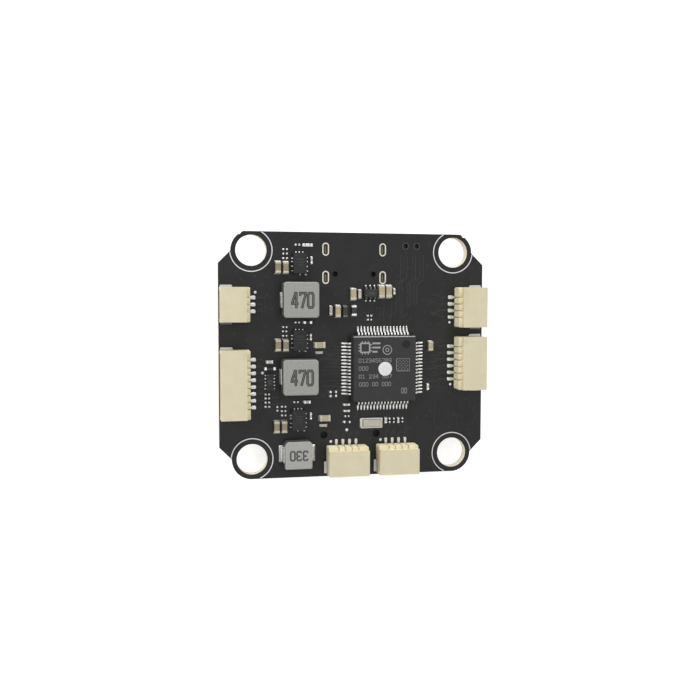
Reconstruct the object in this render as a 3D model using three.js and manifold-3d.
// Flight controller board: a 40 x 36 mm four-corner-mounted circuit board with a 64-lead
// microcontroller, three power inductors and six side-entry wire connectors on its upper
// side, and a USB-C receptacle, a memory card socket, a motion sensor and a boot button
// on its underside. Millimetres, +Z up, upper component side facing +Z.
// Origin: centre of the mounting-hole pattern in X and Y, lowest point (the USB shell) in Z.
import * as THREE from "three";
import { mergeVertices } from "three/addons/utils/BufferGeometryUtils.js";
import Module from "manifold-3d";

// ---------------------------------------------------------------- driving dimensions
const HOLE_PITCH = 30.5; // square mounting pattern
const HOLE_D = 4.5; // clearance bore for a grommet or an M4 post
const EAR_R = 2.95; // round ear of the board about each mounting hole
const EAR_SEGMENTS = 48;
const BOARD_HALF_X = 20.0;
const BOARD_HALF_Y = 18.0;
const BOARD_FRONT_Y = 18.19; // the front edge runs almost tangent to the front ears
const CHAMFER_SUM = 33.4; // the corner cut lies on |x| + |y| = this
const BOARD_T = 1.6;
const UNDER = 3.2; // height of the board's underside above the USB shell's lowest point
const TOP = UNDER + BOARD_T; // upper face of the board
const SIT = 0.03; // solder film under a surface-mounted piece
const GAP = 0.02; // clearance between a moulding and the metal set in it
const LANDING_T = 0.05; // raised landing ring round each hole on the underside

const MCU = { x: 4.3, y: -2.11, body: 10.0, pitch: 0.5, perSide: 16, span: 12.0 };
const SH = {
  pitch: 1.0, // contact spacing of the wire connectors
  depth: 4.25,
  height: 2.95,
  wall: 0.45,
  contactW: 0.3,
};
const CONNECTORS = [
  // name, contacts, pin-row centre, body centre, direction that the mouth faces
  { name: "conn_left_upper", n: 3, x: -17.72, y: 7.4, turn: -90 },
  { name: "conn_left_lower", n: 8, x: -17.72, y: -4.12, turn: -90 },
  { name: "conn_right_upper", n: 4, x: 17.68, y: 6.99, turn: 90 },
  { name: "conn_right_lower", n: 6, x: 17.68, y: -1.43, turn: 90 },
  { name: "conn_front_left", n: 4, x: -1.23, y: -15.68, turn: 0 },
  { name: "conn_front_right", n: 4, x: 6.36, y: -15.68, turn: 0 },
];
const INDUCTORS = [
  { name: "inductor_rear", x: -8.29, y: 8.08, w: 5.2, d: 5.22, h: 2.9, strap: 2.27 },
  { name: "inductor_middle", x: -8.39, y: -3.1, w: 5.2, d: 5.22, h: 2.9, strap: 2.27 },
  { name: "inductor_front", x: -8.62, y: -14.57, w: 4.05, d: 4.1, h: 2.1, strap: 2.4 },
];
const BUCK_IC = { w: 2.0, d: 3.0, h: 0.85, at: [
  ["buck_ic_rear", -8.19, 13.42],
  ["buck_ic_middle", -8.22, 2.15],
  ["buck_ic_front", -8.43, -9.59],
] };
const CAPS = [
  // name, x, y, width, length, height
  ["capacitor_rear_a", -11.39, 12.79, 0.86, 1.75, 0.84],
  ["capacitor_rear_b", -10.27, 12.77, 0.86, 1.75, 0.84],
  ["capacitor_middle_a", -11.41, 1.46, 0.86, 1.75, 0.84],
  ["capacitor_middle_b", -10.29, 1.44, 0.86, 1.75, 0.84],
  ["capacitor_front_a", -11.66, -10.54, 0.86, 1.75, 0.84],
  ["capacitor_front_b", -10.54, -10.54, 0.86, 1.75, 0.84],
  ["capacitor_supply_a", 4.04, 9.32, 0.95, 1.85, 0.9],
  ["capacitor_supply_b", 5.14, 9.33, 0.95, 1.85, 0.9],
];
const USB = { halfW: 4.47, h: 3.16, wall: 0.3, y0: 10.88, y1: 18.2, legX: 4.31, legY: [15.53, 11.4] };
const USB_PEGS = [[-2.89, 11.9], [2.89, 11.9]];
const SLOT = { w: 0.64, l: 1.56 }; // plated board slots of the USB shell's legs
const CARD = { x0: -7.6, x1: 6.43, y0: -17.9, y1: -3.4, h: 1.82, cx: -0.585 };
const CARD_PEGS = [[-4.58, -12.0], [3.41, -11.98]];
const BOOT = { x: 8.68, y0: 14.85, y1: 17.45, halfW: 1.7, h: 1.42, travel: 0.25 };
const BOOT_PEGS = [[7.83, 16.13], [9.53, 16.13]];
const GYRO = { x: 0.0, y: 4.0, w: 2.5, d: 3.0, h: 0.86 };

// ---------------------------------------------------------------- solid helpers
const wasm = await Module();
wasm.setup();

// A closed geometry as a solid for joining and cutting.
function solid(geometry) {
  const g = geometry.clone();
  g.deleteAttribute("normal");
  g.deleteAttribute("uv");
  const a = g.attributes.position.array; // on a 0.1 micrometre grid, so that faces meant to be flush are flush
  for (let i = 0; i < a.length; i++) a[i] = Math.round(a[i] * 1e4) / 1e4;
  const m = mergeVertices(g, 1e-5);
  return new wasm.Manifold(
    new wasm.Mesh({
      numProp: 3,
      vertProperties: new Float32Array(m.attributes.position.array),
      triVerts: new Uint32Array(m.index.array),
    }),
  );
}
const join = (...parts) => parts.flat().reduce((a, b) => a.add(b));
const cut = (from, ...tools) => tools.flat().reduce((a, b) => a.subtract(b), from);

// Box between two corners.
function box(x0, x1, y0, y1, z0, z1) {
  const g = new THREE.BoxGeometry(x1 - x0, y1 - y0, z1 - z0);
  g.translate((x0 + x1) / 2, (y0 + y1) / 2, (z0 + z1) / 2);
  return solid(g);
}
// Upright cylinder.
function post(x, y, r, z0, z1, segments = 20) {
  const g = new THREE.CylinderGeometry(r, r, z1 - z0, segments);
  g.rotateX(Math.PI / 2);
  g.translate(x, y, (z0 + z1) / 2);
  return solid(g);
}
function extruded(points, depth) {
  const shape = new THREE.Shape(points.map((p) => new THREE.Vector2(p[0], p[1])));
  return new THREE.ExtrudeGeometry(shape, { depth, bevelEnabled: false, steps: 1 });
}
// Plan outline (x, y) raised from z0 to z1.
function prismZ(points, z0, z1) {
  const g = extruded(points, z1 - z0);
  g.translate(0, 0, z0);
  return solid(g);
}
// Side profile (y, z) carried along X.
function prismX(points, x0, x1) {
  const g = extruded(points, x1 - x0);
  g.applyMatrix4(new THREE.Matrix4().set(0, 0, 1, x0, 1, 0, 0, 0, 0, 1, 0, 0, 0, 0, 0, 1));
  return solid(g);
}
// Front profile (x, z) carried along Y. The outline is given clockwise or not, either works.
function prismY(points, y0, y1) {
  const g = extruded(points.map((p) => [p[1], p[0]]), y1 - y0); // (z, x) keeps the turn right-handed
  g.applyMatrix4(new THREE.Matrix4().set(0, 1, 0, 0, 0, 0, 1, y0, 1, 0, 0, 0, 0, 0, 0, 1));
  return solid(g);
}
// Rounded rectangle outline, counter-clockwise, centred on (cx, cy).
function roundRect(hw, hd, r, n = 3, cx = 0, cy = 0) {
  const out = [];
  for (const [sx, sy, a0] of [[1, 1, 0], [-1, 1, 90], [-1, -1, 180], [1, -1, 270]])
    for (let i = 0; i <= n; i++) {
      const a = ((a0 + (90 * i) / n) * Math.PI) / 180;
      out.push([cx + sx * (hw - r) + r * Math.cos(a), cy + sy * (hd - r) + r * Math.sin(a)]);
    }
  return out;
}
// Closed skin over a stack of outlines of equal point count: [[outline, z], ...] from low to high.
function loft(sections) {
  const n = sections[0][0].length;
  const pos = [];
  const put = (a, b, c) => pos.push(...a, ...b, ...c);
  const at = (k, i) => [sections[k][0][i % n][0], sections[k][0][i % n][1], sections[k][1]];
  for (let k = 0; k + 1 < sections.length; k++)
    for (let i = 0; i < n; i++) {
      put(at(k, i), at(k, i + 1), at(k + 1, i + 1));
      put(at(k, i), at(k + 1, i + 1), at(k + 1, i));
    }
  const top = sections.length - 1;
  for (let i = 1; i + 1 < n; i++) {
    put(at(0, 0), at(0, i + 1), at(0, i));
    put(at(top, 0), at(top, i), at(top, i + 1));
  }
  const g = new THREE.BufferGeometry();
  g.setAttribute("position", new THREE.Float32BufferAttribute(pos, 3));
  return solid(g);
}
const rect = (hw, hd, cx = 0, cy = 0) => [[cx + hw, cy + hd], [cx - hw, cy + hd], [cx - hw, cy - hd], [cx + hw, cy - hd]];
// Small moulded block with its rims broken by b.
const block = (w, d, z0, z1, b, cx = 0, cy = 0) =>
  loft([
    [rect(w / 2 - b, d / 2 - b, cx, cy), z0],
    [rect(w / 2, d / 2, cx, cy), z0 + b],
    [rect(w / 2, d / 2, cx, cy), z1 - b],
    [rect(w / 2 - b, d / 2 - b, cx, cy), z1],
  ]);
const turnZ = (s, deg) => s.rotate([0, 0, deg]);
const moved = (s, x, y, z = 0) => s.translate([x, y, z]);

// ---------------------------------------------------------------- finishes
const finish = (color, roughness, metalness) => ({ color, roughness, metalness });
const F = {
  mask: finish(0x2b2c2b, 0.5, 0.0),
  moulding: finish(0x3a3a3a, 0.6, 0.0),
  ivory: finish(0xd6cdae, 0.55, 0.0),
  tin: finish(0xc9c8c2, 0.35, 1.0),
  ferrite: finish(0x9a9a95, 0.7, 0.2),
  copper: finish(0xb98a5e, 0.4, 1.0),
  ceramic: finish(0xb39b7a, 0.6, 0.0),
  crystal: finish(0xb8b3a4, 0.35, 0.9),
  steel: finish(0xc4c4c2, 0.3, 1.0),
  black: finish(0x1e1e1f, 0.5, 0.0),
  gold: finish(0xd2b26a, 0.3, 1.0),
};

const board = new THREE.Group();
const upper = new THREE.Group(); // pieces on the upper face, z measured from that face
upper.position.z = TOP;
board.add(upper);

function add(parent, name, s, look) {
  const m = s.simplify(0.003).getMesh();
  const g = new THREE.BufferGeometry();
  const stride = m.numProp;
  const p = new Float32Array((m.vertProperties.length / stride) * 3);
  for (let i = 0; i < p.length / 3; i++)
    for (let k = 0; k < 3; k++) p[3 * i + k] = m.vertProperties[stride * i + k];
  g.setAttribute("position", new THREE.BufferAttribute(p, 3));
  g.setIndex(new THREE.BufferAttribute(new Uint32Array(m.triVerts), 1));
  g.computeVertexNormals();
  const mesh = new THREE.Mesh(g, new THREE.MeshStandardMaterial({ name: name + "_finish", ...look, flatShading: true }));
  mesh.name = name;
  parent.add(mesh);
  return mesh;
}

// ---------------------------------------------------------------- circuit board
{
  const h = HOLE_PITCH / 2;
  const cx = CHAMFER_SUM - BOARD_HALF_Y;
  const fx = CHAMFER_SUM - BOARD_FRONT_Y;
  const cy = CHAMFER_SUM - BOARD_HALF_X;
  const outline = [
    [BOARD_HALF_X, cy], [cx, BOARD_HALF_Y], [-cx, BOARD_HALF_Y], [-BOARD_HALF_X, cy],
    [-BOARD_HALF_X, -cy], [-fx, -BOARD_FRONT_Y], [fx, -BOARD_FRONT_Y], [BOARD_HALF_X, -cy],
  ];
  const corners = [[h, h], [-h, h], [-h, -h], [h, -h]];
  let pcb = join(
    prismZ(outline, UNDER, TOP),
    corners.map(([x, y]) => post(x, y, EAR_R, UNDER, TOP, EAR_SEGMENTS)),
    corners.map(([x, y]) => post(x, y, EAR_R - 0.06, UNDER - LANDING_T, UNDER + 0.2, EAR_SEGMENTS)),
  );
  pcb = cut(
    pcb,
    box(-19, 19, BOARD_HALF_Y, BOARD_HALF_Y + 2, UNDER - 1, TOP + 1), // the rear edge trims the rear ears
    [-1, 1].map((s) => post(s * 16.93, 17.78, 0.25, UNDER - 1, TOP + 1, 12)), // break-off nicks
    corners.map(([x, y]) => post(x, y, HOLE_D / 2, UNDER - 1, TOP + 1, EAR_SEGMENTS)),
    [-1, 1].flatMap((s) =>
      USB.legY.map((y) =>
        prismZ(roundRect(SLOT.w / 2, SLOT.l / 2, SLOT.w / 2 - 1e-3, 3, s * USB.legX, y), UNDER - 1, TOP + 1),
      ),
    ),
    USB_PEGS.map(([x, y]) => post(x, y, 0.33, UNDER - 1, TOP + 1, 14)),
    CARD_PEGS.map(([x, y]) => post(x, y, 0.47, UNDER - 1, TOP + 1, 16)),
    BOOT_PEGS.map(([x, y]) => post(x, y, 0.37, UNDER - 1, TOP + 1, 14)),
  );
  add(board, "circuit_board", pcb, F.mask);
}

// ---------------------------------------------------------------- microcontroller, 64 leads
{
  const half = MCU.body / 2;
  const z0 = 0.1, zMid = 0.8, z1 = 1.5, t = 0.13;
  const foot = MCU.span / 2;
  const lead = (w, grow) =>
    prismY(
      [
        [4.5, zMid + t / 2 + grow], [5.33, zMid + t / 2 + grow], [5.6, 0.15], [foot, 0.15],
        [foot, 0.02], [5.5, 0.02], [5.24, zMid - t / 2 - grow], [4.5, zMid - t / 2 - grow],
      ],
      -w / 2, w / 2,
    );
  const one = lead(0.22, 0);
  const stub = box(4.4, 5.2, -0.13, 0.13, zMid - t / 2 - GAP, zMid + t / 2 + GAP);
  const leads = [], stubs = [];
  for (let side = 0; side < 4; side++)
    for (let i = 0; i < MCU.perSide; i++) {
      const y = (i - (MCU.perSide - 1) / 2) * MCU.pitch;
      leads.push(turnZ(moved(one, 0, y), 90 * side));
      stubs.push(turnZ(moved(stub, 0, y), 90 * side));
    }
  const ring = (grow) =>
    cut(
      box(-4.6 - grow, 4.6 + grow, -4.6 - grow, 4.6 + grow, zMid - t / 2 - grow, zMid + t / 2 + grow),
      box(-3.9 + grow, 3.9 - grow, -3.9 + grow, 3.9 - grow, 0, 2),
    );
  const frame = join(ring(0), leads);
  let body = loft([
    [roundRect(half - 0.13, half - 0.13, 0.12, 1), z0],
    [roundRect(half, half, 0.15, 1), zMid - 0.06],
    [roundRect(half, half, 0.15, 1), zMid + 0.06],
    [roundRect(half - 0.13, half - 0.13, 0.12, 1), z1],
  ]);
  body = cut(body, ring(GAP), stubs, post(3.3, 3.61, 0.5, z1 - 0.06, z1 + 1, 20));
  add(upper, "mcu_body", body, F.moulding).position.set(MCU.x, MCU.y, 0);
  add(upper, "mcu_lead_frame", frame, F.tin).position.set(MCU.x, MCU.y, 0);
}

// ---------------------------------------------------------------- side-entry wire connectors
// Built with the mouth facing -Y, then turned to the board edge they serve.
for (const c of CONNECTORS) {
  const half = ((c.n - 1) * SH.pitch + 3) / 2;
  const f = -SH.depth / 2, b = SH.depth / 2;
  const xs = [...Array(c.n).keys()].map((i) => (i - (c.n - 1) / 2) * SH.pitch);
  const reach = (c.n - 1) * SH.pitch / 2;
  const w = SH.contactW / 2;
  // contacts: blade in the cavity, leg down the back, foot on the board, one hidden tie bar
  const contacts = join(
    xs.map((x) =>
      prismX(
        [[-1.2, 1.3], [-1.2, 1.5], [1.82, 1.5], [1.82, 0.23], [2.95, 0.23], [2.95, SIT], [1.62, SIT], [1.62, 1.3]],
        x - w, x + w,
      ),
    ),
    box(-reach, reach, 1.2, 1.4, 1.33, 1.47),
  );
  let housing = join(
    loft([
      [rect(half, SH.depth / 2), SIT],
      [rect(half, SH.depth / 2), SH.height - 0.1],
      [rect(half - 0.1, SH.depth / 2 - 0.1), SH.height],
    ]),
  );
  housing = cut(
    housing,
    box(-half + SH.wall, half - SH.wall, f - 1, 0.9, 0.5, 2.45), // plug cavity
    box(-reach - 0.55, reach + 0.55, b - 0.5, b + 1, 2.2, 4), // lower ledge over the contact slots
    xs.map((x) => box(x - w - GAP, x + w + GAP, 0.8, 1.84, 1.28, 1.52)),
    xs.map((x) => box(x - w - GAP, x + w + GAP, 1.6, b + 1, -1, 3)),
    box(-reach - GAP, reach + GAP, 1.18, 1.42, 1.31, 1.49),
    [-1, 1].map((s) => {
      const a = s * (half - 0.22), o = s * (half + 1);
      return box(Math.min(a, o), Math.max(a, o), -2.03, -0.33, -1, 1.3);
    }),
  );
  const parts = new THREE.Group();
  parts.position.set(c.x, c.y, 0);
  parts.rotation.z = (c.turn * Math.PI) / 180;
  upper.add(parts);
  add(parts, c.name + "_housing", housing, F.ivory);
  add(parts, c.name + "_contacts", contacts, F.tin);
  for (const [s, tag] of [[-1, "_tab_a"], [1, "_tab_b"]]) {
    const tab = prismY(
      [
        [s * (half - 0.2), SIT], [s * (half + 0.35), SIT], [s * (half + 0.35), 0.2],
        [s * (half - 0.01), 0.2], [s * (half - 0.01), 1.27], [s * (half - 0.2), 1.27],
      ],
      -2.0, -0.36,
    );
    add(parts, c.name + tag, tab, F.tin);
  }
}

// ---------------------------------------------------------------- power inductors
// Pressed powder block about a wire winding, whose flat ends come out of two sides and fold under.
for (const L of INDUCTORS) {
  const hw = L.w / 2, hd = L.d / 2;
  const rIn = 0.2 * L.w, rOut = 0.38 * L.w, zLow = 0.75, zHigh = L.h - 0.5;
  const ringOf = (g) =>
    moved(
      solid(
        new THREE.LatheGeometry(
          [[rIn - g, zLow - g], [rOut + g, zLow - g], [rOut + g, zHigh + g], [rIn - g, zHigh + g], [rIn - g, zLow - g]].map(
            (p) => new THREE.Vector2(p[0], p[1]),
          ),
          20,
        ).rotateX(Math.PI / 2),
      ),
      0, 0, 0,
    );
  const strap = (s) =>
    prismY(
      [
        [s * rOut * 0.8, 1.15], [s * (hw + 0.12), 1.15], [s * (hw + 0.12), SIT], [s * (hw - 0.9), SIT],
        [s * (hw - 0.9), 0.16], [s * (hw + 0.02), 0.16], [s * (hw + 0.02), 1.03], [s * rOut * 0.8, 1.03],
      ],
      -L.strap / 2, L.strap / 2,
    );
  const winding = join(ringOf(0), strap(1), strap(-1));
  const r = 0.42;
  let core = loft([
    [roundRect(hw - 0.05, hd - 0.05, r, 3), 0.19],
    [roundRect(hw, hd, r, 3), 0.3],
    [roundRect(hw, hd, r, 3), L.h - 0.18],
    [roundRect(hw - 0.14, hd - 0.14, r - 0.1, 3), L.h],
  ]);
  core = cut(
    core, ringOf(GAP),
    box(rOut * 0.75, hw + 1, -L.strap / 2 - GAP, L.strap / 2 + GAP, 1.01, 1.17),
    box(-hw - 1, -rOut * 0.75, -L.strap / 2 - GAP, L.strap / 2 + GAP, 1.01, 1.17),
  );
  add(upper, L.name + "_core", core, F.ferrite).position.set(L.x, L.y, 0);
  add(upper, L.name + "_winding", winding, F.copper).position.set(L.x, L.y, 0);
}

// ---------------------------------------------------------------- small parts of the upper face
add(upper, "crystal_base", block(3.2, 1.5, SIT, 0.5, 0.03), F.ceramic).position.set(2.62, -10.33, 0);
add(upper, "crystal_lid", block(2.8, 1.14, 0.52, 0.78, 0.05), F.crystal).position.set(2.62, -10.33, 0);

for (const [name, x, y] of BUCK_IC.at)
  add(upper, name, block(BUCK_IC.w, BUCK_IC.d, SIT, BUCK_IC.h, 0.03), F.moulding).position.set(x, y, 0);

{
  // six-lead supply chip, leads towards +Y and -Y
  const zMid = 0.5, t = 0.12;
  const lead = prismX(
    [
      [0.35, zMid + t / 2], [0.78, zMid + t / 2], [0.92, 0.15], [1.08, 0.15],
      [1.08, SIT], [0.84, SIT], [0.7, zMid - t / 2], [0.35, zMid - t / 2],
    ],
    -0.12, 0.12,
  );
  const xs = [-0.65, 0, 0.65];
  const comb = join(
    xs.map((x) => moved(lead, x, 0)), xs.map((x) => turnZ(moved(lead, x, 0), 180)),
    box(-0.75, 0.75, -0.4, 0.4, zMid - t / 2, zMid + t / 2),
  );
  const body = cut(
    loft([
      [rect(0.96, 0.58), 0.1], [rect(1.0, 0.625), zMid - 0.05], [rect(1.0, 0.625), zMid + 0.05], [rect(0.95, 0.56), 0.95],
    ]),
    box(-0.77, 0.77, -0.42, 0.42, zMid - t / 2 - GAP, zMid + t / 2 + GAP),
    xs.map((x) => box(x - 0.14, x + 0.14, -1, 1, zMid - t / 2 - GAP, zMid + t / 2 + GAP)),
  );
  add(upper, "supply_chip_body", body, F.moulding).position.set(2.39, 9.07, 0);
  add(upper, "supply_chip_leads", comb, F.tin).position.set(2.39, 9.07, 0);
}
add(upper, "filter_array", block(1.05, 2.5, SIT, 0.55, 0.03), F.moulding).position.set(-12.61, -3.93, 0);
for (const [name, x, y, w, l, h] of CAPS)
  add(upper, name, block(w, l, SIT, h, 0.06), F.ceramic).position.set(x, y, 0);

// ---------------------------------------------------------------- USB-C receptacle, mouth facing +Y
{
  const zc = USB.h / 2;
  const outer = roundRect(USB.halfW, USB.h / 2, 1.4, 5, 0, zc);
  const inner = (g) => roundRect(USB.halfW - USB.wall - g, USB.h / 2 - USB.wall - g, 1.12 - g, 5, 0, zc);
  let shell = join(
    prismY(outer, USB.y0, USB.y1),
    [-1, 1].flatMap((s) =>
      USB.legY.map((y) => {
        const a = s * 4.18, b = s * 4.44;
        return box(Math.min(a, b), Math.max(a, b), y - 0.5, y + 0.5, 1.5, TOP - 0.2);
      }),
    ),
  );
  shell = cut(
    shell,
    prismY(inner(0), USB.y0 - 1, USB.y1 + 1),
    USB_PEGS.map(([x, y]) => post(x, y, 0.33, 2.5, UNDER, 14)),
  );
  add(board, "usb_shell", shell, F.steel);

  const tz = [1.23, 1.93]; // tongue faces
  const plateTop = [1.95, 2.05], plateLow = [1.11, 1.21];
  let insert = join(
    prismY(inner(0.03), 10.92, 13.0),
    box(-3.345, 3.345, 12.9, 17.4, tz[0], tz[1]),
    USB_PEGS.map(([x, y]) => post(x, y, 0.28, 2.6, TOP - 0.6, 14)),
  );
  insert = cut(
    insert,
    box(-2.93, 2.93, 10.5, 14, tz[1], 2.07),
    box(-2.93, 2.93, 11.2, 14, 1.09, tz[0]),
    box(-2.93, 2.93, 11.18, 11.52, 1.09, 2.07),
  );
  add(board, "usb_insert", insert, F.black);

  const xs = [...Array(12).keys()].map((i) => (i - 5.5) * 0.5);
  const contacts = join(
    box(-2.9, 2.9, 11.2, 12.8, plateTop[0], plateTop[1]),
    box(-2.9, 2.9, 11.22, 12.8, plateLow[0], plateLow[1]),
    box(-2.9, 2.9, 11.22, 11.48, plateLow[0], plateTop[1]),
    xs.map((x) => box(x - 0.12, x + 0.12, 12.7, 16.9, plateTop[0], plateTop[1])),
    xs.map((x) => box(x - 0.12, x + 0.12, 12.7, 16.9, plateLow[0], plateLow[1])),
    xs.map((x) =>
      prismX(
        [
          [11.3, 1.95], [11.3, 2.05], [10.72, 2.05], [10.72, UNDER - 0.03], [10.15, UNDER - 0.03],
          [10.15, UNDER - 0.15], [10.6, UNDER - 0.15], [10.6, 1.95],
        ],
        x - 0.12, x + 0.12,
      ),
    ),
  );
  add(board, "usb_contacts", contacts, F.gold);
}

// ---------------------------------------------------------------- memory card socket, mouth facing -Y
{
  const seat = UNDER - SIT, low = UNDER - CARD.h;
  const { x0, x1, y0, y1, cx } = CARD;
  let base = join(
    box(x0 + 0.15, x1 - 0.15, y0 + 0.5, y1, seat - 0.3, seat),
    box(x0 + 0.15, x1 - 0.15, y1 - 1.2, y1, low + 0.2, seat),
    box(x0 + 0.15, x0 + 1.0, y0 + 0.5, y1, low + 0.2, seat),
    box(x1 - 1.0, x1 - 0.15, y0 + 0.5, y1, low + 0.2, seat),
    CARD_PEGS.map(([x, y]) => post(x, y, 0.42, seat - 0.2, TOP - 0.5, 16)),
  );
  const xs = [...Array(8).keys()].map((i) => cx + (i - 3.5) * 1.1);
  const zr = [2.35, 2.45];
  base = cut(base, box(xs[0] - 0.3, xs[7] + 0.3, y1 - 2, y1 + 1, zr[0] - GAP, zr[1] + GAP));
  add(board, "card_socket_base", base, F.black);
  const cover = prismY(
    [
      [x0, seat - 0.05], [x0, low], [x1, low], [x1, seat - 0.05],
      [x1 - 0.13, seat - 0.05], [x1 - 0.13, low + 0.17], [x0 + 0.13, low + 0.17], [x0 + 0.13, seat - 0.05],
    ],
    y0, y1 - 0.05,
  );
  add(board, "card_socket_cover", cover, F.steel);
  const contacts = join(
    xs.map((x) =>
      prismX(
        [
          [y1 + 0.75, seat], [y1 + 0.05, seat], [y1 + 0.05, zr[1]], [y1 - 1.3, zr[1]], [y1 - 5.2, 2.1],
          [y1 - 5.2, 2.0], [y1 - 1.3, zr[0]], [y1 + 0.17, zr[0]], [y1 + 0.17, seat - 0.12], [y1 + 0.75, seat - 0.12],
        ],
        x - 0.22, x + 0.22,
      ),
    ),
    box(xs[0], xs[7], y1 - 0.9, y1 - 0.6, zr[0], zr[1]),
  );
  add(board, "card_socket_contacts", contacts, F.gold);
}

// ---------------------------------------------------------------- motion sensor
add(board, "motion_sensor", block(GYRO.w, GYRO.d, UNDER - SIT - GYRO.h, UNDER - SIT, 0.03), F.moulding)
  .position.set(GYRO.x, GYRO.y, 0);

// ---------------------------------------------------------------- boot button, pressed towards -Y
{
  const seat = UNDER - SIT, low = UNDER - BOOT.h; // low: outer face of the cover
  const inner = low + 0.17; // rim of the base, just inside the cover
  const { x, y0, y1, halfW } = BOOT;
  const floor = seat - 0.4;
  let base = join(
    box(x - halfW, x + halfW, y0, y1, inner, seat),
    BOOT_PEGS.map(([px, py]) => post(px, py, 0.33, seat - 0.2, TOP - 0.6, 14)),
  );
  base = cut(
    base,
    box(x - 1.18, x + 1.18, y0 + 0.45, y1 - 0.35, inner - 1, floor), // well for the spring and the key
    box(x - 0.8, x + 0.8, y1 - 1, y1 + 1, inner - 1, floor), // guide for the key's stem
  );
  add(board, "boot_switch_base", base, F.black);
  const cover = prismY(
    [
      [x - halfW - 0.15, seat - 0.25], [x - halfW - 0.15, low], [x + halfW + 0.15, low], [x + halfW + 0.15, seat - 0.25],
      [x + halfW + 0.02, seat - 0.25], [x + halfW + 0.02, inner - GAP], [x - halfW - 0.02, inner - GAP], [x - halfW - 0.02, seat - 0.25],
    ],
    y0, y1,
  );
  add(board, "boot_switch_cover", cover, F.steel);
  const z0 = inner + 0.05, z1 = floor - 0.05;
  const key = join(
    box(x - 1.1, x + 1.1, y1 - 1.0, y1 - 0.4, z0, z1),
    box(x - 0.75, x + 0.75, y1 - 0.5, 18.15, z0, z1),
    box(x - 0.15, x + 0.15, y1 - 1.18, y1 - 0.9, z0 + 0.15, z1 - 0.15),
  );
  add(board, "boot_switch_key", key, F.black);
  // bowed leaf spring between the rear wall and the key
  const arc = [], back = [];
  for (let i = 0; i <= 10; i++) {
    const u = i / 5 - 1;
    const y = y0 + 0.5 + 0.45 * (1 - u * u);
    arc.push([x + 1.1 * u, y + 0.08]);
    back.unshift([x + 1.1 * u, y]);
  }
  add(board, "boot_switch_spring", prismZ([...arc, ...back], z0 + 0.02, z1 - 0.02), F.steel);
}

export default board;
